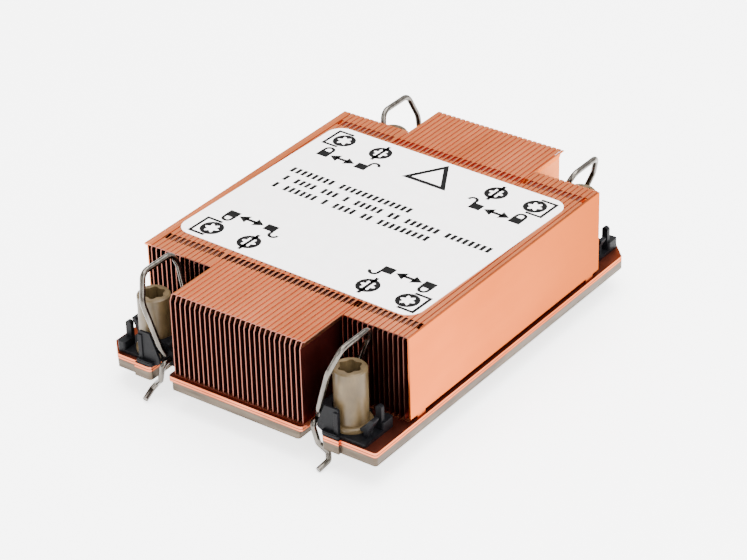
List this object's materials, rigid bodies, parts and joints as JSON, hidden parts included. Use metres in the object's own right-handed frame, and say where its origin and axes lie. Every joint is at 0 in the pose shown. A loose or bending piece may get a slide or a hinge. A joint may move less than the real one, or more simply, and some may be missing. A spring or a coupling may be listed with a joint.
{
  "type": "passive server cpu heatsink",
  "caption": "Low copper fin stack on a flat base with notched corners, swinging anti-tilt wires and captive socket nuts; cools a server processor.",
  "frame": {"origin": "centre of the copper contact face on the underside", "axes": "+Z away from the processor, out of the fins; Y along the fins and the airflow; X across the fins, +X to the flat side panel"},
  "size_m": [0.078, 0.1106, 0.0343],
  "materials": {
    "carrier_grey": "satin grey nickel plate with a fine grain",
    "copper_base": "bare copper sheet, sawn edges",
    "copper_fin": "thin bare copper fins, satin",
    "copper_panel": "bare copper side sheet, satin",
    "label_film": "white printed film, matte",
    "retainer_black": "black moulded nylon",
    "nut_beige": "cream engineering plastic, lightly mottled",
    "wire_steel": "drawn spring wire, smooth"
  },
  "bodies": {
    "heatsink": {"carrier_plate": "carrier_grey", "spreader_lower": "copper_base", "spreader_upper": "copper_base", "fins_center": "copper_fin", "fins_left": "copper_fin", "fins_right": "copper_fin", "end_sheet_left": "copper_fin", "end_panel_right": "copper_panel", "label": "label_film", "retainer_front_left": "retainer_black", "retainer_front_right": "retainer_black", "retainer_rear_left": "retainer_black", "retainer_rear_right": "retainer_black"},
    "wire_front_left": {"bail_front_left": "wire_steel"},
    "nut_front_left": {"nut_front_left": "nut_beige"},
    "wire_front_right": {"bail_front_right": "wire_steel"},
    "nut_front_right": {"nut_front_right": "nut_beige"},
    "wire_rear_left": {"bail_rear_left": "wire_steel"},
    "nut_rear_left": {"nut_rear_left": "nut_beige"},
    "wire_rear_right": {"bail_rear_right": "wire_steel"},
    "nut_rear_right": {"nut_rear_right": "nut_beige"}
  },
  "joints": [
    {"name": "wire_swing_front_left", "type": "hinge", "parent": "heatsink", "child": "wire_front_left", "pos_m": [-0.02145, -0.047, 0.00525], "axis": [0, -1, 0], "range_deg": [-2, 10]},
    {"name": "nut_turn_front_left", "type": "hinge", "parent": "heatsink", "child": "nut_front_left", "pos_m": [-0.028, -0.047, 0.00444], "axis": [0, 0, 1], "continuous": true},
    {"name": "wire_swing_front_right", "type": "hinge", "parent": "heatsink", "child": "wire_front_right", "pos_m": [0.02145, -0.047, 0.00525], "axis": [0, 1, 0], "range_deg": [-10, 2]},
    {"name": "nut_turn_front_right", "type": "hinge", "parent": "heatsink", "child": "nut_front_right", "pos_m": [0.028, -0.047, 0.00444], "axis": [0, 0, 1], "continuous": true},
    {"name": "wire_swing_rear_left", "type": "hinge", "parent": "heatsink", "child": "wire_rear_left", "pos_m": [-0.02145, 0.047, 0.00525], "axis": [0, -1, 0], "range_deg": [-2, 10]},
    {"name": "nut_turn_rear_left", "type": "hinge", "parent": "heatsink", "child": "nut_rear_left", "pos_m": [-0.028, 0.047, 0.00444], "axis": [0, 0, 1], "continuous": true},
    {"name": "wire_swing_rear_right", "type": "hinge", "parent": "heatsink", "child": "wire_rear_right", "pos_m": [0.02145, 0.047, 0.00525], "axis": [0, 1, 0], "range_deg": [-10, 2]},
    {"name": "nut_turn_rear_right", "type": "hinge", "parent": "heatsink", "child": "nut_rear_right", "pos_m": [0.028, 0.047, 0.00444], "axis": [0, 0, 1], "continuous": true}
  ]
}
